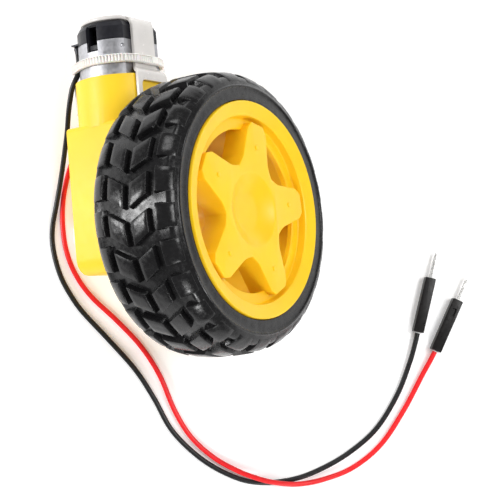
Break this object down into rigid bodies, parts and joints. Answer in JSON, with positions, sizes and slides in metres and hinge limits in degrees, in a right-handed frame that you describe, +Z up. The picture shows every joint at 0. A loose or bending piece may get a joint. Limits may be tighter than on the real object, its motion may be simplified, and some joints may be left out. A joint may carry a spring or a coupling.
{
  "type": "geared dc motor with wheel",
  "caption": "Small yellow geared DC motor with a double-ended shaft, treaded wheel, nylon tie and two leads ending in male pins.",
  "frame": {"origin": "on the table under the middle of the box of the motor, gearbox and wheel, leads left out", "axes": "+Z up from the table the unit lies on; +Y from the wheel's axle towards the motor; the axle leans up from +X by 39.5 degrees"},
  "size_m": [0.1098, 0.1223, 0.0625],
  "materials": {
    "yellow_plastic": "moulded, semi-gloss",
    "tyre_rubber": "moulded rubber, rough tread and smooth sidewall",
    "plated_steel": "zinc plated, satin",
    "bush_bronze": "sintered, dull",
    "ferrite": "dull dark grey",
    "copper": "bare or varnished copper",
    "white_nylon": "moulded, natural",
    "black_plastic": "moulded, satin",
    "milky_plastic": "translucent, moulded",
    "black_insulation": "smooth, slightly glossy",
    "red_insulation": "smooth, slightly glossy",
    "pin_metal": "plated, bright"
  },
  "bodies": {
    "housing": {"gearbox_base": "yellow_plastic", "gearbox_cover": "yellow_plastic", "cover_screw_1": "plated_steel", "cover_screw_2": "plated_steel", "cover_screw_3": "plated_steel", "cover_screw_4": "plated_steel", "motor_can": "plated_steel", "motor_end_bell": "black_plastic", "front_bush": "bush_bronze", "rear_bush": "bush_bronze", "magnet_upper": "ferrite", "magnet_lower": "ferrite", "black_lead_terminal": "copper", "red_lead_terminal": "copper", "gear_pin": "plated_steel", "retaining_strap": "milky_plastic", "cable_tie": "white_nylon", "black_lead": "black_insulation", "red_lead": "red_insulation", "black_connector": "black_plastic", "red_connector": "black_plastic", "black_connector_pin": "pin_metal", "red_connector_pin": "pin_metal"},
    "output": {"output_shaft": "white_nylon", "output_gear": "white_nylon", "wheel_rim": "yellow_plastic", "tyre": "tyre_rubber"},
    "third": {"third_gear": "white_nylon"},
    "second": {"second_gear": "white_nylon"},
    "crown": {"crown_gear": "white_nylon"},
    "rotor": {"motor_shaft": "plated_steel", "motor_pinion": "white_nylon", "commutator": "copper", "armature_core": "plated_steel", "winding_1": "copper", "winding_2": "copper", "winding_3": "copper"}
  },
  "joints": [
    {"name": "wheel_spin", "type": "hinge", "parent": "housing", "child": "output", "pos_m": [-0.01666, -0.00917, 0.01466], "axis": [0.772, 0, 0.6357], "continuous": true},
    {"name": "third_gear_spin", "type": "hinge", "parent": "housing", "child": "third", "pos_m": [-0.01666, 0.00233, 0.01466], "axis": [0.772, 0, 0.6357], "continuous": true},
    {"name": "second_gear_spin", "type": "hinge", "parent": "housing", "child": "second", "pos_m": [-0.01666, -0.00917, 0.01466], "axis": [0.772, 0, 0.6357], "continuous": true},
    {"name": "crown_gear_spin", "type": "hinge", "parent": "housing", "child": "crown", "pos_m": [-0.01666, 0.00233, 0.01466], "axis": [0.772, 0, 0.6357], "continuous": true},
    {"name": "rotor_spin", "type": "hinge", "parent": "housing", "child": "rotor", "pos_m": [-0.01666, -0.00917, 0.01466], "axis": [0, 1, 0], "continuous": true}
  ],
  "couplings": [
    {"joint": "third_gear_spin", "follows": "wheel_spin", "ratio": -2.8333},
    {"joint": "second_gear_spin", "follows": "wheel_spin", "ratio": 4.8333},
    {"joint": "crown_gear_spin", "follows": "wheel_spin", "ratio": -13.694},
    {"joint": "rotor_spin", "follows": "wheel_spin", "ratio": -47.931}
  ]
}
